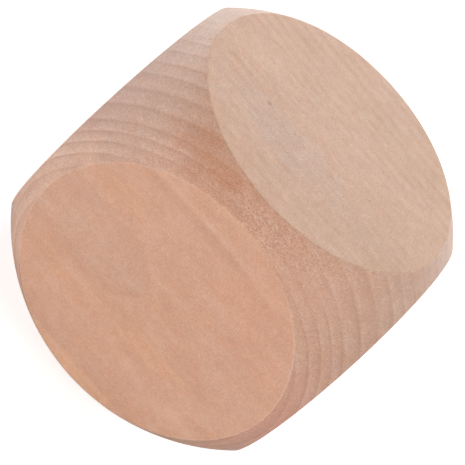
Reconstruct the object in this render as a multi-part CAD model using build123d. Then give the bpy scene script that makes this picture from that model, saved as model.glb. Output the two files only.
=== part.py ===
from build123d import *

import os

# Plain wooden cube: a square block turned down to a ball, so that each side keeps one round flat.
# Millimetres, +Z up. The origin is the centre of the flat that the cube stands on.
# The grain runs along X.

# Driving dimensions
edge_length = 30.0  # sawn block, across two opposite flats
rim_inset = 1.77  # from the block's sawn edge in to the round rim of a flat
arris_radius = 0.35  # rims eased with fine sandpaper

# Sizes that follow
flat_diameter = edge_length - 2 * rim_inset
ball_diameter = (edge_length**2 + flat_diameter**2) ** 0.5


def sawn_block():
    """Square block, standing on the XY plane and centred on Z."""
    return Box(edge_length, edge_length, edge_length, align=(Align.CENTER, Align.CENTER, Align.MIN))


def turning_ball():
    """Ball about the block's centre, whose surface passes through the rim of every flat."""
    return Pos(0, 0, edge_length / 2) * Sphere(ball_diameter / 2)


def wooden_cube():
    """The block where it lies inside the ball, with the rim of each flat eased."""
    turned = sawn_block() & turning_ball()
    rims = turned.faces().filter_by(GeomType.PLANE).edges()
    cube = fillet(rims, arris_radius)
    cube.label = "wooden_cube"
    return cube


os.makedirs("parts", exist_ok=True)
export_step(wooden_cube(), "parts/wooden_cube.step")
print(f"flats {flat_diameter:.2f} mm across, turned to a ball of {ball_diameter:.2f} mm")
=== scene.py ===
import math

import bmesh
import bpy
import numpy as np
from mathutils import Matrix, Vector


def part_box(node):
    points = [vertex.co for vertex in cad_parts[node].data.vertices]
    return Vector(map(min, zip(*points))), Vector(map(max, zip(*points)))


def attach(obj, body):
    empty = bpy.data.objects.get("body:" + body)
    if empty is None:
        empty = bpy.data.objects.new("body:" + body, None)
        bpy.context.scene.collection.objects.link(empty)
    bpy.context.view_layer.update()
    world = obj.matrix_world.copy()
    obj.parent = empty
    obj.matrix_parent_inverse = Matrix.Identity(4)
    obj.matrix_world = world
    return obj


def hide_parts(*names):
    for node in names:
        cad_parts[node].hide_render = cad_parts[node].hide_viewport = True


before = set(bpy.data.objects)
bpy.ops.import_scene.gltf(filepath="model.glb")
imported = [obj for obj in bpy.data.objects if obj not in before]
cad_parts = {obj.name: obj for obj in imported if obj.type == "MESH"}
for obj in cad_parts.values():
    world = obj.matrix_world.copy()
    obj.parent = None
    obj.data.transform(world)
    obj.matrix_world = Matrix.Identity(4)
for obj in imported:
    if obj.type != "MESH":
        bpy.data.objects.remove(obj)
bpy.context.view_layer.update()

mm = 0.001
blockLow, blockHigh = (Vector(corner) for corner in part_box("wooden_cube"))
centre = (blockLow + blockHigh) / 2
halfEdge = (blockHigh.z - blockLow.z) / 2
print("frame loaded, half an edge is", round(halfEdge / mm, 3), "mm")

# the cube: a sawn block turned to a ball, so each side keeps a round flat with an eased rim
cubeShape = {
    "rimInset": 1.77 * mm,  # from the sawn edge in to the rim of a flat
    "stretch": (1.0164, 0.9914, 0.9914),  # the ball is a little long along the grain
    "shift": (0.14 * mm, 0.0, 0.08 * mm),  # its middle, from the cube's
    "arris": 0.35 * mm,  # how far the rims are eased
    "arrisWander": 0.10 * mm,  # more here, less there, as sandpaper leaves it
    "arrisWaves": [(1.0, 2, 1.0), (0.6, 5, 2.3), (0.4, 9, 4.1)],  # share, waves round a rim, turn by side
    "around": 240,  # points round a flat
    "flatRings": 14,
    "arrisRings": 6,
    "ballRings": 26,
    "weld": 0.0005 * mm,
}
cubeSides = [  # the way out of the flat, and where its angle starts
    ((0, 0, 1), (1, 0, 0)),
    ((0, 0, -1), (1, 0, 0)),
    ((0, -1, 0), (1, 0, 0)),
    ((0, 1, 0), (1, 0, 0)),
    ((-1, 0, 0), (0, 1, 0)),
    ((1, 0, 0), (0, 1, 0)),
]


def sidePatch(normal, across, turn):
    # a sixth of the surface, as a grid of rings round the flat's middle,
    # with radius r and height n above the ball's middle:
    #   flat   r = a sin s       n = h
    #   arris  r = a + e cos t   n = h - e + e sin t   a small circle that touches the flat and the ball
    #   ball   r = R sin u       n = R cos u           out to the plane halfway to the next flat,
    #          where tan u = 1 / max(|cos|, |sin|) of the angle round the flat
    # worked out on a true ball, with h the flat's height there, then stretched and shifted
    s = cubeShape
    out, first = np.array(normal, float), np.array(across, float)
    stretch, shift = np.array(s["stretch"]), np.array(s["shift"])
    h = (halfEdge - shift @ out) / (stretch @ np.abs(out))
    ball = math.hypot(halfEdge, halfEdge - s["rimInset"])
    angle = np.arange(s["around"]) * 2 * math.pi / s["around"]
    wander = sum(share * np.sin(waves * angle + step * turn) for share, waves, step in s["arrisWaves"])
    wander = wander / sum(share for share, waves, step in s["arrisWaves"])
    ease = s["arris"] + s["arrisWander"] * wander
    a = np.sqrt((ball - ease) ** 2 - (h - ease) ** 2)
    uStart = np.arctan2(a, h - ease)
    uEnd = np.arctan(1 / np.maximum(np.abs(np.cos(angle)), np.abs(np.sin(angle))))

    flat = np.sin(np.linspace(0, math.pi / 2, s["flatRings"] + 1))[:, None]
    t = math.pi / 2 - np.linspace(0, 1, s["arrisRings"] + 1)[1:, None] * uStart
    u = uStart + np.linspace(0, 1, s["ballRings"] + 1)[1:, None] * (uEnd - uStart)
    radius = np.concatenate([flat * a, a + ease * np.cos(t), ball * np.sin(u)])
    height = np.concatenate([h + 0 * flat * a, h - ease + ease * np.sin(t), ball * np.cos(u)])
    onArris = np.sin(math.pi * (math.pi / 2 - t) / uStart)  # 1 in the middle of the arris
    onRim = np.concatenate([0 * flat * a, onArris, 0 * u])

    second = np.cross(out, first)
    grid = (height[..., None] * out + (radius * np.cos(angle))[..., None] * first
            + (radius * np.sin(angle))[..., None] * second)
    return grid * stretch + shift + np.array(centre), onRim


def gridQuads(rings, around, start):
    # quads between neighbouring rings, closed round the angle
    i, j = np.meshgrid(np.arange(rings - 1), np.arange(around), indexing="ij")
    k = (j + 1) % around
    corners = np.stack([i * around + j, (i + 1) * around + j, (i + 1) * around + k, i * around + k], axis=-1)
    return corners.reshape(-1, 4) + start


def makeCube():
    points, quads, rims, start = [], [], [], 0
    for turn, (normal, across) in enumerate(cubeSides):
        patch, onRim = sidePatch(normal, across, turn)
        quads.append(gridQuads(*onRim.shape, start))
        points.append(patch.reshape(-1, 3))
        rims.append(onRim.ravel())
        start += onRim.size
    mesh = bpy.data.meshes.new("turned_cube")
    mesh.from_pydata(np.concatenate(points), [], np.concatenate(quads))
    mesh.attributes.new("rim", "FLOAT", "POINT").data.foreach_set("value", np.concatenate(rims))
    work = bmesh.new()
    work.from_mesh(mesh)
    bmesh.ops.remove_doubles(work, verts=work.verts, dist=cubeShape["weld"])  # closes seams and middles
    bmesh.ops.recalc_face_normals(work, faces=work.faces)
    work.to_mesh(mesh)
    work.free()
    mesh.polygons.foreach_set("use_smooth", np.ones(len(mesh.polygons), bool))
    piece = bpy.data.objects.new("turned_cube", mesh)
    bpy.context.scene.collection.objects.link(piece)
    return piece


# node helpers: a value is a number, a tuple or another node's socket
def feed(tree, socket, value):
    if isinstance(value, bpy.types.NodeSocket):
        tree.links.new(value, socket)
    elif value is not None:
        socket.default_value = value


def put(tree, kind, inputs=(), **settings):
    made = tree.nodes.new(kind)
    for name, value in settings.items():
        setattr(made, name, value)
    for socket, value in (inputs.items() if isinstance(inputs, dict) else enumerate(inputs)):
        feed(tree, made.inputs[socket], value)
    return made


def calc(tree, operation, *values):
    return put(tree, "ShaderNodeMath", values, operation=operation).outputs[0]


def total(tree, values):
    whole = values[0]
    for value in values[1:]:
        whole = calc(tree, "ADD", whole, value)
    return whole


def vector(tree, operation, *values):
    made = put(tree, "ShaderNodeVectorMath", values, operation=operation)
    return made.outputs["Value" if operation in ("LENGTH", "DOT_PRODUCT") else "Vector"]


def scale(tree, value, factor):
    return put(tree, "ShaderNodeVectorMath", {0: value, "Scale": factor}, operation="SCALE").outputs[0]


def spread(tree, value, low, high, outLow=0.0, outHigh=1.0):
    # a smooth step from outLow at low to outHigh at high
    ends = (value, low, high, outLow, outHigh)
    return put(tree, "ShaderNodeMapRange", ends, interpolation_type="SMOOTHSTEP").outputs[0]


def curve(tree, value, places):
    made = put(tree, "ShaderNodeFloatCurve", {"Value": value})
    line = made.mapping.curves[0]
    for x, y in places[1:-1]:
        line.points.new(x, y)
    line.points[0].location = places[0]
    line.points[-1].location = places[-1]
    for point in line.points:
        point.handle_type = "VECTOR"
    made.mapping.update()
    return made.outputs[0]


def newGroup(name, inputs, output):
    tree = bpy.data.node_groups.new(name, "ShaderNodeTree")
    for label, kind in inputs.items():
        tree.interface.new_socket(label, in_out="INPUT", socket_type="NodeSocket" + kind)
    tree.interface.new_socket(output, in_out="OUTPUT", socket_type="NodeSocketFloat")
    given = tree.nodes.new("NodeGroupInput").outputs
    return tree, given, tree.nodes.new("NodeGroupOutput").inputs[0]


def use(tree, group, **inputs):
    made = put(tree, "ShaderNodeGroup", node_tree=bpy.data.node_groups[group])
    for name, value in inputs.items():
        feed(tree, made.inputs[name], value)
    return made.outputs[0]


noiseLook = {
    "middle": 0.5,  # Blender's noise lies about this
    "gain": 4.0,  # and this brings it to about -1 to 1
    "edgeOctaves": 3.0,  # detail of a patch's ragged edge
}
noiseShift = {  # one place in the noise for each use, so that no two are alike
    "tone": 0.0, "layerSlow": 3.0, "layerQuick": 11.0, "layerUneven": 17.0, "torn": 21.0, "fine": 23.0,
    "blotch": 25.0, "tongue": 27.0, "hue": 40.0, "dull": 60.0, "mark": 70.0,
}
noiseStep = 5.0  # from one plan of a list to the next


def makeFibreGroup():
    # uneven tone, about -1 to 1: noise stretched to the given size in mm
    tree, given, result = newGroup("fibreTone", {
        "Place": "Vector", "Size": "Vector", "Octaves": "Float", "Rough": "Float", "Shift": "Float"}, "Tone")
    spot = vector(tree, "ADD", vector(tree, "DIVIDE", given["Place"], given["Size"]), given["Shift"])
    noise = put(tree, "ShaderNodeTexNoise", {"Vector": spot, "Scale": 1.0, "Detail": given["Octaves"],
                                            "Roughness": given["Rough"]})
    uneven = calc(tree, "SUBTRACT", noise.outputs[0], noiseLook["middle"])
    feed(tree, result, calc(tree, "MULTIPLY", uneven, noiseLook["gain"]))


def makePatchGroup():
    # one soft patch, 1 in its middle and 0 outside: an egg of the given half sizes with a ragged edge; mm
    tree, given, result = newGroup("softPatch", {
        "Place": "Vector", "Middle": "Vector", "Reach": "Vector",
        "Core": "Float", "Ragged": "Float", "Grain": "Float"}, "Mask")
    away = vector(tree, "DIVIDE", vector(tree, "SUBTRACT", given["Place"], given["Middle"]), given["Reach"])
    spot = vector(tree, "DIVIDE", given["Place"], given["Grain"])
    noise = put(tree, "ShaderNodeTexNoise", {"Vector": spot, "Scale": 1.0,
                                            "Detail": noiseLook["edgeOctaves"]})
    uneven = calc(tree, "SUBTRACT", noise.outputs[0], noiseLook["middle"])
    edge = calc(tree, "MULTIPLY", uneven, given["Ragged"])
    far = calc(tree, "ADD", vector(tree, "LENGTH", away), edge)
    feed(tree, result, spread(tree, far, given["Core"], 1.0, 1.0, 0.0))


# bare wood, worked out in mm about the cube's centre; the grain runs along X.
# its tone is a power of its colour: over 1 is darker and fuller, under 1 is paler
woodLook = {
    "colour": (0.58, 0.321, 0.214),
    "roughness": 0.5,
    "dull": ((1.5, 0.5, 0.5), 2, 0.7, 0.08),  # how the roughness wanders: size, octaves, roughness, strength
    "gloss": 0.5,
    "hueWay": (0.76, 0.21, -0.62),  # towards orange, and the other way towards grey blue
    "flatEdge": (0.88, 0.97),  # outward parts between which the ball turns into a flat
    "endMost": 0.5,  # where the look of the end grain is full
    "leftCut": (-0.2, -0.5),  # outward X between which the layers show as they do across the fibres,
    "rightCut": (0.28, 0.58),  # at the left and at the right
    "rightFrom": (-6.0, 6.0),  # X between which the left end's look turns into the right end's
    "endTone": -0.16,  # cut across the fibres it is paler
    "endShade": 0.50,  # but duller
    "leftSheenTint": (-0.138, -0.025, 0.235),  # and greyer at the left end than at the right: a painted sheen of light from the left
    "rightTint": (0.05, 0.012, -0.012),
    "rimTone": (-0.03, 0.04, -0.16),  # rims' tone, partly rubbed wood and partly a painted highlight line: at the left end, along the sides, at the right end
    "lowRimHighlight": -0.16,  # added on the lower side: a painted highlight line along the lower rims
    "rimTurn": (0.03, 0.3),  # outward part over which one of these turns into the next
    "greyShare": 0.45,  # how much of the layers' and the fine marks' dark is plain grey; on the fine marks that grey is partly painted shade
    "turnedCoarse": 0.6,  # how much coarser the turned parts are than the flats
    "fineDepth": 0.05,  # height of the fine marks in mm
}
layerLook = {  # growth layers, stacked from front to back
    "tilt": 0.148,  # how far they lean forward with height
    "twist": -0.003,  # and less so towards the right
    "start": -18.72,  # where the first one starts
    "layers": [  # from the front of the cube to the back: width in mm, and how strong its dark line is
        (1.2, 1.0), (1.2, 1.0), (1.2, 1.0), (1.14, 0.85), (0.85, 1.15), (0.82, 1.1),
        (0.77, 1.1), (0.87, 1.15), (1.43, 1.1), (1.59, 1.1), (1.65, 0.85), (1.35, 0.97),
        (1.67, 0.92), (1.63, 0.87), (1.01, 0.87), (1.51, 0.6), (1.39, 0.5), (1.09, 0.4),
        (1.2, 0.45), (1.1, 0.45), (1.21, 1.0), (1.4, 1.1), (1.2, 0.7), (1.46, 1.5),
        (1.45, 1.15), (1.4, 0.9), (1.4, 1.0), (1.4, 1.1), (1.4, 0.9), (1.4, 1.0)],
    "profile": [  # across one layer: a dark line, then the light early wood that slowly darkens
        (0.0, 0.5), (0.05, 0.12), (0.12, 0.0), (0.3, 0.16), (0.5, 0.34), (0.66, 0.46),
        (0.78, 0.62), (0.87, 0.9), (0.93, 1.0), (0.97, 0.95), (1.0, 0.5)],
    "topProfile": [  # softer where the cut runs nearly along the layers
        (0.0, 0.78), (0.1, 0.42), (0.2, 0.14), (0.33, 0.0), (0.5, 0.18), (0.65, 0.45),
        (0.8, 0.8), (0.93, 1.0), (1.0, 0.78)],
    "level": 0.4,  # about the profiles' own mean
    "onSide": 0.14,  # tone of the boldest layers on side grain
    "onEnd": 0.22,  # and more where the cut runs across the fibres
    "boldest": 2.0,  # no line is stronger
    "slowWander": ((16.0, 7.0, 7.0), 1, 0.5, 0.05),
    "quickWander": ((3.5, 1.6, 1.6), 2, 0.6, 0.03),
    "uneven": ((7.0, 2.0, 3.0), 1, 0.6, 0.4),  # stronger here, weaker there
    "leftGain": (-8.0, 8.0, 1.2, 1.0),  # from X to X, gain from and to
    "darkest": 0.93,  # where in a layer its dark line is
    "front": {  # cut along a crest there
        "crest": 1.2, "up": 0.1676, "down": 0.1233, "bend": 0.017, "lift": 0.35,
        "steady": 0.6,  # how much less they wander
        "tongueZ": 1.5,
        "blur": (6.0, 8.5, 1.0, 0.0),  # blurred near the tongue: how far off it, and how much
        "leftGain": (-4.0, 6.0, 0.6, 0.0),  # from X, to, gain from and to
        "highGain": (-2.0, 2.0, -0.3, 1.0)},  # the same for Z
    "top": {  # on the top flat they run askew
        "tilt": 0.155, "lift": 1.15,
        "backGain": (1.0, 4.0, -0.45, 0.4)},  # from Y, to, gain from and to
    "faint": {"x": (3.0, 8.0), "y": (-5.0, 0.0), "z": (3.0, 9.0), "by": 0.6},  # upper right, off the top
    "paleLines": [(-7.15, 0.5, -0.05), (-13.08, 0.07, -0.05)],  # pale early wood: where, how wide, tone
    "paleEnd": (2.0, 10.0, 1.0, 0.0),  # these fade out from X to X
}
tongueLook = {  # greyer wood in the front flat that ends in a round tip, as a layer cut at its crest does
    "tip": (-0.9, 0.75),  # X and Z
    "halfWidth": 3.65,
    "taper": 1.3,
    "waver": ((2.4, 2.4, 2.4), 3, 0.6, 0.7),
    "soft": (-0.3, 0.9),  # its colour comes in over this way inward
    "tone": 0.015,
    "edge": (0.3, 1.6, 0.05),  # darker along its edge: how sharp outside, how soft inside, tone
    "edgeFade": (2.5, 5.0, 1.0, 0.35),  # the edge is weaker higher up: from Z, to, share from and to
    "glow": (-2.2, -0.02),  # pale wood outside it: how far out, tone
    "glowEnd": (-0.2, 0.3),  # and where it ends at the tongue
    "tint": (-0.028, 0.005, 0.035),
}
toneLook = {  # size in mm along the grain and across it, octaves, roughness, strength
    "cloud": ((6.0, 3.2, 3.6), 2, 0.9, 0.075),
}
markLook = {
    "sheet": ((24.0, 0.35, 6.0), 2, 0.8, 0.045),
    "mottle": ((0.85, 0.65, 0.65), 2, 1.0, 0.058),
}
# fine marks, darker where the bump lowers them: partly the wood's own speckle, partly painted shade of that
# small relief
fineLook = {
    "fleck": ((0.2, 0.9, 0.13), 1, 0.8, 0.06),
    "speckle": ((0.13, 0.12, 0.12), 1, 0.8, 0.125),
}
hueLook = {
    "blush": ((6.0, 3.6, 3.6), 2, 1.0, 0.04),
    "freckle": ((0.9, 0.8, 0.8), 1, 0.9, 0.025),
}
patchPlan = {  # patches of tone and colour, some stains and marks in the wood, some painted light and sheen: where they are and how they change tone and colour
    "redStain": {"middle": (-7.0, -13.0, 13.5), "reach": (3.0, 2.2, 2.2), "core": 0.3, "ragged": 1.6,
                 "grain": 1.1, "on": "turned", "tone": 0.14, "tint": (0.02, -0.01, -0.04)},
    "stainRim": {"middle": (-6.3, -11.8, 14.8), "reach": (2.2, 1.3, 1.1), "core": 0.2, "ragged": 1.4,
                 "grain": 0.9, "on": "turned", "tone": 0.03, "tint": (0.01, -0.01, -0.03)},
    "stainShade": {"middle": (-6.0, -13.0, 13.8), "reach": (6.0, 2.8, 2.8), "core": 0.2, "ragged": 1.0,
                   "grain": 1.6, "on": "turned", "tone": 0.02, "tint": (-0.05, -0.05, -0.05)},
    # painted sheen: the whole top flat made paler
    "topSheen": {"middle": (0.0, 2.0, 15.0), "reach": (30.0, 25.0, 4.0), "core": 0.8, "ragged": 0.2,
                "grain": 3.0, "on": "flat", "tone": 0.0, "tint": (0.010, 0.052, 0.012)},
    "topCool": {"middle": (-3.0, -5.4, 15.0), "reach": (10.0, 3.6, 2.0), "core": 0.3, "ragged": 1.0,
                "grain": 2.6, "on": "flat", "tone": 0.0, "tint": (-0.045, 0.012, 0.11)},
    "topDull": {"middle": (9.0, -7.0, 15.0), "reach": (10.0, 6.5, 2.0), "core": 0.2, "ragged": 0.6,
                "grain": 3.0, "on": "flat", "tone": 0.0, "tint": (-0.06, -0.032, -0.042)},
    "topPale": {"middle": (-2.0, 1.6, 15.0), "reach": (14.0, 3.2, 2.0), "core": 0.3, "ragged": 0.6,
                "grain": 3.0, "on": "flat", "tone": -0.04, "tint": (0.0, 0.0, 0.0)},
    "topTan": {"middle": (0.0, 7.0, 15.0), "reach": (14.0, 3.4, 2.0), "core": 0.4, "ragged": 0.8,
               "grain": 3.0, "on": "flat", "tone": 0.012, "tint": (-0.015, -0.005, -0.03)},
    # painted light: the lower left of the ball made paler, as lit from low at the front left
    "leftPaintedLight": {"middle": (-13.6, -13.6, -3.0), "reach": (5.5, 3.2, 13.5), "core": 0.4, "ragged": 0.6,
                 "grain": 2.5, "on": "turned", "tone": 0.0, "tint": (0.18, 0.18, 0.13)},
    # redder and darker towards the lower right of the ball
    "rightRed": {"middle": (13.2, -14.2, -1.0), "reach": (5.0, 2.5, 11.0), "core": 0.2, "ragged": 0.8,
                 "grain": 2.0, "on": "turned", "tone": 0.0, "tint": (0.05, -0.105, -0.10)},
    # painted sheen: the ball's upper back-left corner made pale and bluish
    "backLeftSheen": {"middle": (-13.2, 0.2, 14.4), "reach": (5.5, 14.0, 5.5), "core": 0.15, "ragged": 0.4,
                     "grain": 3.0, "on": "turned", "tone": 0.0, "tint": (0.17, 0.275, 0.30)},
    # painted sheen: the ball's upper back-right corner made pale and bluish
    "backRightSheen": {"middle": (13.4, 2.0, 14.4), "reach": (4.0, 6.0, 4.0), "core": 0.0, "ragged": 0.4,
                      "grain": 3.0, "on": "turned", "tone": 0.0, "tint": (-0.03, 0.11, 0.25)},
    "stainEnd": {"middle": (-3.6, -13.6, 14.2), "reach": (2.1, 1.2, 1.2), "core": 0.3, "ragged": 1.4,
                 "grain": 0.9, "on": "turned", "tone": 0.155, "tint": (0.025, -0.01, -0.05)},
    "stainFoot": {"middle": (-4.4, -14.6, 13.0), "reach": (6.5, 1.3, 2.2), "core": 0.2, "ragged": 1.0,
                  "grain": 1.4, "on": "turned", "tone": 0.095, "tint": (-0.03, -0.03, -0.03)},
    "rightPale": {"middle": (14.3, -12.6, 5.8), "reach": (2.6, 2.6, 4.2), "core": 0.2, "ragged": 0.6,
                  "grain": 2.0, "on": "turned", "tone": 0.0, "tint": (0.08, 0.08, 0.115)},
    "edgeWarm": {"middle": (5.0, -13.5, 13.5), "reach": (13.0, 4.0, 4.0), "core": 0.2, "ragged": 0.6,
                 "grain": 2.5, "on": "turned", "tone": 0.0, "tint": (-0.005, -0.033, -0.033)},
    "topFar": {"middle": (8.0, 8.0, 15.0), "reach": (11.0, 9.0, 2.0), "core": 0.2, "ragged": 0.6,
               "grain": 3.0, "on": "flat", "tone": 0.0, "tint": (-0.03, -0.015, -0.04)},
    "frontWarm": {"middle": (7.0, -15.0, 7.5), "reach": (10.0, 2.0, 8.0), "core": 0.3, "ragged": 0.6,
                  "grain": 3.0, "on": "flat", "tone": 0.0, "tint": (0.0, -0.045, -0.05)},
    "frontPale": {"middle": (2.0, -15.0, -7.0), "reach": (14.0, 2.0, 5.5), "core": 0.4, "ragged": 0.6,
                  "grain": 3.0, "on": "flat", "tone": 0.0, "tint": (0.04, 0.033, 0.045)},
    "frontGold1": {"middle": (-8.2, -15.0, 6.3), "reach": (4.2, 2.0, 1.8), "core": 0.1, "ragged": 1.4,
                   "grain": 1.6, "on": "flat", "tone": 0.0, "tint": (0.025, 0.008, -0.03)},
    "frontGold2": {"middle": (1.8, -15.0, -3.8), "reach": (5.5, 2.0, 2.4), "core": 0.1, "ragged": 1.4,
                   "grain": 1.8, "on": "flat", "tone": 0.0, "tint": (0.02, 0.003, -0.05)},
    "frontGold3": {"middle": (0.0, -15.0, -12.4), "reach": (10.0, 2.0, 1.5), "core": 0.2, "ragged": 1.2,
                   "grain": 1.6, "on": "flat", "tone": -0.02, "tint": (0.04, 0.02, -0.03)},
}
tornPlan = {  # torn grain on the ball: middle, reach, strength
    "strip": ((3.0, -13.0, 14.0), (14.0, 3.6, 3.2), 0.32),
    "torn1": ((1.6, -14.3, 13.9), (3.6, 2.0, 2.0), 1.0),
    "torn2": ((5.0, -12.6, 14.7), (5.5, 2.0, 1.5), 0.5),
    "torn3": ((10.4, -9.2, 14.4), (2.5, 1.6, 1.5), 0.4),
}
tornLook = {
    "mark": ((0.24, 0.13, 0.15), 1, 0.7, 1.0),
    "crisp": 0.55,  # noise beyond this is a full mark
    "tone": 0.12,
    "depth": 0.006,
    "blotch": ((1.3, 0.7, 0.7), 2, 0.8, 0.05),
    "blotchSpread": 3.0,  # blotches reach further out than the marks
    "edge": {"Core": 0.3, "Ragged": 1.2, "Grain": 0.8},
}
pitPlan = {  # pits in the top flat: middle, reach, how dark; the dark is painted shade inside each pit
    "pit": ((-5.8, -3.6, 15.0), (0.30, 0.24, 0.3), 0.35),
    "speck": ((-2.4, -3.9, 15.0), (0.20, 0.16, 0.3), 0.14),
}
pitLook = {"depth": 0.03, "edge": {"Core": 0.3, "Ragged": 0.6, "Grain": 0.2}}


def makeTone(tree, place, plan, shift):
    size, octaves, rough, strength = plan
    tone = use(tree, "fibreTone", Place=place, Size=size, Octaves=octaves, Rough=rough, Shift=shift)
    return calc(tree, "MULTIPLY", tone, strength)


def makeTones(tree, place, plans, kind):
    shifts = [noiseShift[kind] + noiseStep * i for i in range(len(plans))]
    return [makeTone(tree, place, plan, shift) for plan, shift in zip(plans.values(), shifts)]


def makeLayers(tree, place, crossCut, onFront, onTop):
    # which layer a point is in: its depth behind the cube's middle along the way the layers are stacked,
    # y + (tilt + twist x) z, through a curve of the layers' widths.
    # on the front flat the layers fold over a crest: up (z - crest) or down (crest - z), whichever is more
    look, front, top = layerLook, layerLook["front"], layerLook["top"]
    across = put(tree, "ShaderNodeSeparateXYZ", (place,)).outputs
    lean = calc(tree, "MULTIPLY_ADD", across["X"], look["twist"], look["tilt"])
    rise = calc(tree, "MULTIPLY", across["Z"], lean)
    right = calc(tree, "MAXIMUM", across["X"], 0.0)
    bent = calc(tree, "MULTIPLY_ADD", calc(tree, "MULTIPLY", right, right), front["bend"], across["Z"])
    above = calc(tree, "SUBTRACT", bent, front["crest"])
    fold = calc(tree, "MAXIMUM", calc(tree, "MULTIPLY", above, front["up"]),
                calc(tree, "MULTIPLY", above, -front["down"]))
    fold = calc(tree, "ADD", fold, front["lift"])
    wander = total(tree, [makeTone(tree, place, look["slowWander"], noiseShift["layerSlow"]),
                          makeTone(tree, place, look["quickWander"], noiseShift["layerQuick"])])
    depth = total(tree, [
        across["Y"],
        rise,
        calc(tree, "MULTIPLY", onFront, calc(tree, "SUBTRACT", fold, rise)),
        calc(tree, "MULTIPLY", onTop, calc(tree, "MULTIPLY_ADD", across["X"], top["tilt"], top["lift"])),
        calc(tree, "MULTIPLY", wander, calc(tree, "MULTIPLY_ADD", onFront, -front["steady"], 1.0)),
    ])
    widths, strengths = zip(*look["layers"])
    ends = np.concatenate([[0.0], np.cumsum(widths)])
    count, reach = len(widths), float(ends[-1])
    share = calc(tree, "DIVIDE", calc(tree, "SUBTRACT", depth, look["start"]), reach)
    share = curve(tree, share, [(e / reach, i / count) for i, e in enumerate(ends)])
    number = calc(tree, "MULTIPLY", share, count)
    within = calc(tree, "FRACT", number)
    dark = curve(tree, within, look["profile"])
    soft = calc(tree, "SUBTRACT", curve(tree, within, look["topProfile"]), dark)
    dark = calc(tree, "SUBTRACT", calc(tree, "MULTIPLY_ADD", soft, onTop, dark), look["level"])

    bold = [((i + look["darkest"]) / count, s / look["boldest"]) for i, s in enumerate(strengths)]
    bold = curve(tree, share, [(0.0, bold[0][1]), *bold, (1.0, bold[-1][1])])
    offTongue = calc(tree, "ABSOLUTE", calc(tree, "SUBTRACT", across["Z"], front["tongueZ"]))
    blur = calc(tree, "MULTIPLY", onFront, spread(tree, offTongue, *front["blur"]))
    topGain = spread(tree, across["Y"], *top["backGain"])
    frontGain = calc(tree, "MULTIPLY", spread(tree, across["X"], *front["leftGain"]),
                     spread(tree, across["Z"], *front["highGain"]))
    faint = calc(tree, "SUBTRACT", 1.0, onTop)
    for axis in "xyz":
        faint = calc(tree, "MULTIPLY", faint, spread(tree, across[axis.upper()], *look["faint"][axis]))
    uneven = makeTone(tree, place, look["uneven"], noiseShift["layerUneven"])
    strength = calc(tree, "MULTIPLY_ADD", crossCut, look["onEnd"], look["onSide"])
    for factor in (bold,
                   spread(tree, across["X"], *look["leftGain"]),
                   calc(tree, "MULTIPLY_ADD", onFront, frontGain, 1.0),
                   calc(tree, "ADD", uneven, 1.0),
                   calc(tree, "MULTIPLY_ADD", onTop, topGain, 1.0),
                   calc(tree, "MULTIPLY_ADD", faint, -look["faint"]["by"], 1.0),
                   calc(tree, "SUBTRACT", 1.0, blur)):
        strength = calc(tree, "MULTIPLY", strength, factor)
    layers = [calc(tree, "MULTIPLY", dark, strength)]
    for where, wide, paleTone in look["paleLines"]:
        apart = calc(tree, "ABSOLUTE", calc(tree, "SUBTRACT", depth, where))
        layers.append(calc(tree, "MULTIPLY", spread(tree, apart, 0.0, wide, paleTone, 0.0),
                           spread(tree, across["X"], *look["paleEnd"])))
    return total(tree, layers)


def makeTongue(tree, place, onFront):
    # how far in from the tongue's edge: halfWidth (1 - exp(x / taper)) - |z|, x and z from its tip; mm
    look = tongueLook
    across = put(tree, "ShaderNodeSeparateXYZ", (place,)).outputs
    waver = makeTone(tree, place, look["waver"], noiseShift["tongue"])
    past = calc(tree, "SUBTRACT", across["X"], look["tip"][0])
    narrow = calc(tree, "EXPONENT", calc(tree, "DIVIDE", calc(tree, "MINIMUM", past, 0.0), look["taper"]))
    half = calc(tree, "MULTIPLY_ADD", narrow, -look["halfWidth"], look["halfWidth"])
    aside = calc(tree, "ABSOLUTE", calc(tree, "SUBTRACT", across["Z"], look["tip"][1]))
    inward = calc(tree, "ADD", calc(tree, "SUBTRACT", half, aside), waver)
    inward = calc(tree, "SUBTRACT", inward, calc(tree, "MAXIMUM", past, 0.0))
    mask = calc(tree, "MULTIPLY", spread(tree, inward, *look["soft"]), onFront)
    sharp, soft, edgeTone = look["edge"]
    line = calc(tree, "MULTIPLY", spread(tree, inward, -sharp, sharp, 0.0, edgeTone),
                spread(tree, inward, 0.0, soft, 1.0, 0.0))
    line = calc(tree, "MULTIPLY", line, spread(tree, across["Z"], *look["edgeFade"]))
    reach, glowTone = look["glow"]
    full, end = look["glowEnd"]
    glow = calc(tree, "MULTIPLY", spread(tree, inward, reach, full),
                spread(tree, inward, full, end, glowTone, 0.0))
    tone = calc(tree, "MULTIPLY", calc(tree, "ADD", line, glow), onFront)
    return calc(tree, "MULTIPLY_ADD", mask, look["tone"], tone), mask


def makeTorn(tree, place, turned):
    # short rough marks where the tool tore the fibres, -1 to 1, and their tone with coarser blotches; the
    # marks' dark is partly painted shade in the tears
    look = tornLook
    patches = []
    for middle, reach, strength in tornPlan.values():
        mask = use(tree, "softPatch", Place=place, Middle=middle, Reach=reach, **look["edge"])
        patches.append(calc(tree, "MULTIPLY", mask, strength))
    torn = calc(tree, "MULTIPLY", total(tree, patches), turned)
    mark = makeTone(tree, place, look["mark"], noiseShift["torn"])
    mark = calc(tree, "MULTIPLY", spread(tree, mark, -look["crisp"], look["crisp"], -1.0, 1.0), torn)
    blotch = makeTone(tree, place, look["blotch"], noiseShift["blotch"])
    blotched = calc(tree, "MINIMUM", calc(tree, "MULTIPLY", torn, look["blotchSpread"]), 1.0)
    # the marks are darker where the bump lowers them: partly their own colour, partly painted shade in the
    # tears
    tone = calc(tree, "MULTIPLY_ADD", blotch, blotched, calc(tree, "MULTIPLY", mark, look["tone"]))
    return mark, tone


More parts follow.
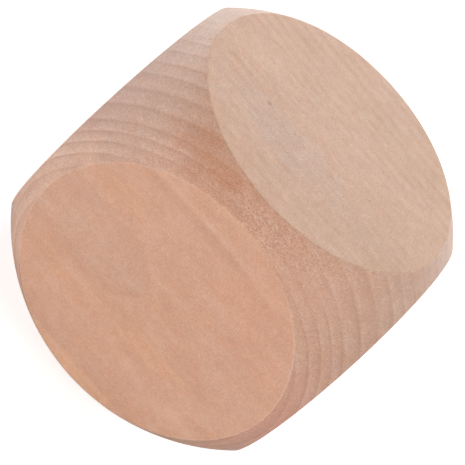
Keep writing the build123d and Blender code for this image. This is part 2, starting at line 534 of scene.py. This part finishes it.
def makeWood(look):
    makeFibreGroup()
    makePatchGroup()
    mat = bpy.data.materials.new("bareWood")
    mat.use_nodes = True
    tree = mat.node_tree
    bsdf = tree.nodes["Principled BSDF"]
    coords = put(tree, "ShaderNodeTexCoord").outputs
    place = put(tree, "ShaderNodeMapping", {"Vector": coords["Object"], "Scale": (1 / mm,) * 3,
                                           "Location": tuple(-centre / mm)}).outputs[0]
    grain = put(tree, "ShaderNodeMapping", {"Vector": place,
                                           "Rotation": (-math.atan(layerLook["tilt"]), 0, 0)}).outputs[0]
    outward = put(tree, "ShaderNodeSeparateXYZ", (coords["Normal"],)).outputs
    facing = put(tree, "ShaderNodeSeparateXYZ", (vector(tree, "ABSOLUTE", coords["Normal"]),)).outputs
    endCut = calc(tree, "MULTIPLY", facing["X"], facing["X"])  # 0 on side grain, and most on end grain
    endCut = calc(tree, "MINIMUM", endCut, look["endMost"])
    # crossCut is 1 as soon as the fibres are cut across at a slant
    crossCut = calc(tree, "MAXIMUM", spread(tree, outward["X"], *look["leftCut"]),
                    spread(tree, outward["X"], *look["rightCut"]))
    widest = calc(tree, "MAXIMUM", facing["X"], calc(tree, "MAXIMUM", facing["Y"], facing["Z"]))
    ball, flatStart = look["flatEdge"]
    turned = spread(tree, widest, ball, flatStart, 1.0, 0.0)  # 1 on the ball, 0 on the flats
    flat = calc(tree, "SUBTRACT", 1.0, turned)
    spot = put(tree, "ShaderNodeSeparateXYZ", (place,)).outputs
    onFront = spread(tree, outward["Y"], -ball, -flatStart)
    onTop = spread(tree, outward["Z"], ball, flatStart)
    rim = put(tree, "ShaderNodeAttribute", attribute_name="rim").outputs["Fac"]

    # tone
    tongueTone, tongue = makeTongue(tree, place, onFront)
    torn, tornTone = makeTorn(tree, place, turned)
    fine = total(tree, makeTones(tree, grain, fineLook, "fine"))
    fine = calc(tree, "MULTIPLY", fine, calc(tree, "MULTIPLY_ADD", turned, look["turnedCoarse"], 1.0))
    atLeft, between, atRight = look["rimTone"]
    soon, late = look["rimTurn"]
    # rims' tone: partly rubbed wood, partly a painted highlight line along the lower and right-hand rims
    rimWearAndHighlight = total(tree, [between,
                          spread(tree, outward["X"], soon, late, 0.0, atRight - between),
                          spread(tree, outward["X"], -soon, -late, 0.0, atLeft - between),
                          spread(tree, outward["Z"], -soon, -late, 0.0, look["lowRimHighlight"])])
    marks = calc(tree, "ADD", fine, makeLayers(tree, place, crossCut, onFront, onTop))
    tones = [1.0, tongueTone, calc(tree, "MULTIPLY", marks, 1.0 - look["greyShare"])]
    tones += makeTones(tree, grain, markLook, "mark") + makeTones(tree, grain, toneLook, "tone")
    tones.append(calc(tree, "MULTIPLY", endCut, look["endTone"]))
    tones.append(calc(tree, "MULTIPLY", rim, rimWearAndHighlight))
    tones.append(tornTone)

    # hue and tints
    hue = total(tree, makeTones(tree, grain, hueLook, "hue"))
    tints = [(1.0, 1.0, 1.0), scale(tree, look["hueWay"], hue), scale(tree, tongueLook["tint"], tongue)]
    rightEnd = calc(tree, "MULTIPLY", endCut, spread(tree, spot["X"], *look["rightFrom"]))
    tints.append(scale(tree, look["rightTint"], rightEnd))
    # the left end's tint is a painted sheen
    tints.append(scale(tree, look["leftSheenTint"], calc(tree, "SUBTRACT", endCut, rightEnd)))
    for plan in patchPlan.values():
        mask = use(tree, "softPatch", Place=place, Middle=plan["middle"], Reach=plan["reach"],
                   Core=plan["core"], Ragged=plan["ragged"], Grain=plan["grain"])
        mask = calc(tree, "MULTIPLY", mask, turned if plan["on"] == "turned" else flat)
        tones.append(calc(tree, "MULTIPLY", mask, plan["tone"]))
        tints.append(scale(tree, plan["tint"], mask))
    tint = tints[0]
    for more in tints[1:]:
        tint = vector(tree, "ADD", tint, more)

    shade = calc(tree, "MULTIPLY", calc(tree, "MULTIPLY_ADD", endCut, -look["endShade"], 1.0),
                 calc(tree, "MULTIPLY_ADD", marks, -look["greyShare"], 1.0))
    height = calc(tree, "MULTIPLY", torn, -tornLook["depth"])
    height = calc(tree, "MULTIPLY_ADD", fine, -look["fineDepth"], height)
    # each pit is darkened, painted shade inside it, and dipped by the bump
    for middle, reach, dark in pitPlan.values():
        pit = use(tree, "softPatch", Place=place, Middle=middle, Reach=reach, **pitLook["edge"])
        shade = calc(tree, "MULTIPLY", shade, calc(tree, "MULTIPLY_ADD", pit, -dark, 1.0))
        height = calc(tree, "MULTIPLY_ADD", pit, -pitLook["depth"], height)

    base = put(tree, "ShaderNodeRGB").outputs[0]
    base.default_value = (*look["colour"], 1)
    colour = put(tree, "ShaderNodeGamma", {"Color": base, "Gamma": total(tree, tones)}).outputs[0]
    colour = scale(tree, vector(tree, "MULTIPLY", colour, tint), shade)
    feed(tree, bsdf.inputs["Base Color"], colour)

    bump = put(tree, "ShaderNodeBump", {"Height": height, "Distance": mm, "Strength": 1.0})
    feed(tree, bsdf.inputs["Normal"], bump.outputs[0])
    dull = makeTone(tree, grain, look["dull"], noiseShift["dull"])
    feed(tree, bsdf.inputs["Roughness"], calc(tree, "ADD", dull, look["roughness"]))
    bsdf.inputs["Specular IOR Level"].default_value = look["gloss"]
    return mat


cubePiece = makeCube()
cubePiece.data.materials.append(makeWood(woodLook))
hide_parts("wooden_cube")
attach(cubePiece, "root")
print("cube made,", len(cubePiece.data.polygons), "faces")

# pale floor: lit like any surface, near white to the camera and, away from the cube's foot, in reflections
floorLook = {
    "reach": 1.5,
    "drop": 0.02 * mm,  # just under the cube
    "grey": 0.6,
    "roughness": 0.9,
    "glow": 0.68,
    "footDark": 12 * mm,  # reflections see no glow this near the cube's foot
    "footLight": 45 * mm,  # and all of it this far off
}


def makeFloor():
    r, z = floorLook["reach"], -floorLook["drop"]
    mesh = bpy.data.meshes.new("floor")
    mesh.from_pydata([(-r, -r, z), (r, -r, z), (r, r, z), (-r, r, z)], [], [(0, 1, 2, 3)])
    floor = bpy.data.objects.new("floor", mesh)
    bpy.context.scene.collection.objects.link(floor)
    mat = bpy.data.materials.new("paleFloor")
    mat.use_nodes = True
    tree = mat.node_tree
    bsdf = tree.nodes["Principled BSDF"]
    bsdf.inputs["Base Color"].default_value = (floorLook["grey"],) * 3 + (1,)
    bsdf.inputs["Roughness"].default_value = floorLook["roughness"]
    bsdf.inputs["Specular IOR Level"].default_value = 0.0
    bsdf.inputs["Emission Color"].default_value = (1, 1, 1, 1)
    far = vector(tree, "LENGTH", put(tree, "ShaderNodeTexCoord").outputs["Object"])
    clear = spread(tree, far, floorLook["footDark"], floorLook["footLight"])
    seen = seenDirectly(tree, clear)
    feed(tree, bsdf.inputs["Emission Strength"], calc(tree, "MULTIPLY", seen, floorLook["glow"]))
    mesh.materials.append(mat)


def seenDirectly(tree, reflected=1.0):
    # 1 for rays from the camera, reflected for rays in a reflection or through glass,
    # and 0 for light on the cube
    path = put(tree, "ShaderNodeLightPath").outputs
    mirrored = calc(tree, "MAXIMUM", path["Is Glossy Ray"], path["Is Transmission Ray"])
    return calc(tree, "MAXIMUM", path["Is Camera Ray"], calc(tree, "MULTIPLY", mirrored, reflected))


makeFloor()

# light: soft panels all round, low, as in a light tent; angles in degrees, 0 in front and 90 at the right
lampPlan = {
    "front": {"around": 342, "up": 12, "width": 0.40, "height": 0.18, "watts": 1.60},
    "right": {"around": 72, "up": 34, "width": 0.40, "height": 0.25, "watts": 1.36},
    "rightBack": {"around": 118, "up": 12, "width": 0.35, "height": 0.18, "watts": 0.57},
    "backRight": {"around": 152, "up": 6, "width": 0.30, "height": 0.08, "watts": 0.24},
    "backHigh": {"around": 182, "up": 36, "width": 0.40, "height": 0.25, "watts": 1.51},
    "backRim": {"around": 208, "up": 6, "width": 0.35, "height": 0.08, "watts": 0.58},
    "leftBack": {"around": 243, "up": 12, "width": 0.40, "height": 0.18, "watts": 0.50},
    "leftLow": {"around": 262, "up": 3, "width": 0.30, "height": 0.06, "watts": 0.53},
    "left": {"around": 290, "up": 12, "width": 0.35, "height": 0.18, "watts": 0.17},
    "frontLeft": {"around": 312, "up": 4, "width": 0.30, "height": 0.08, "watts": 0.36},
}
lampDistance = 0.5


def makeLight():
    for name, plan in lampPlan.items():
        data = bpy.data.lights.new(name, "AREA")
        data.shape = "RECTANGLE"
        data.size, data.size_y = plan["width"], plan["height"]
        data.energy = plan["watts"]
        lamp = bpy.data.objects.new(name, data)
        around, up = math.radians(plan["around"]), math.radians(plan["up"])
        way = Vector((math.sin(around) * math.cos(up), -math.cos(around) * math.cos(up), math.sin(up)))
        lamp.location = centre + lampDistance * way
        lamp.rotation_euler = (-way).to_track_quat("-Z", "Y").to_euler()
        lamp.visible_camera = False
        bpy.context.scene.collection.objects.link(lamp)
    world = bpy.data.worlds.new("studio")
    bpy.context.scene.world = world
    world.use_nodes = True
    tree = world.node_tree
    ground = tree.nodes["Background"]
    ground.inputs["Color"].default_value = (1, 1, 1, 1)
    feed(tree, ground.inputs["Strength"], seenDirectly(tree))


makeLight()

# camera: where the photo was taken from, rolled over to one side
cameraPlan = {
    "place": (-0.19978, -7.55682, 6.05599),  # from the cube's centre, in half edges
    "heading": -1.7179,  # degrees about Z from looking along +Y
    "dip": 38.7409,  # degrees below level
    "roll": 48.6553,  # degrees, right side up
    "lens": 122.834,  # mm, and so is the sensor
    "sensor": 36,
    "near": 5 * mm,
    "far": 20,
}


def makeCamera():
    data = bpy.data.cameras.new("camera")
    data.sensor_width = cameraPlan["sensor"]
    data.lens = cameraPlan["lens"]
    data.clip_start, data.clip_end = cameraPlan["near"], cameraPlan["far"]
    camera = bpy.data.objects.new("camera", data)
    look = (Matrix.Rotation(math.radians(cameraPlan["heading"]), 3, "Z")
            @ Matrix.Rotation(math.radians(90 - cameraPlan["dip"]), 3, "X")
            @ Matrix.Rotation(math.radians(cameraPlan["roll"]), 3, "Z"))
    camera.matrix_world = Matrix.LocRotScale(centre + halfEdge * Vector(cameraPlan["place"]), look, None)
    bpy.context.scene.collection.objects.link(camera)
    bpy.context.scene.camera = camera


makeCamera()
bpy.context.scene.view_settings.view_transform = "Standard"
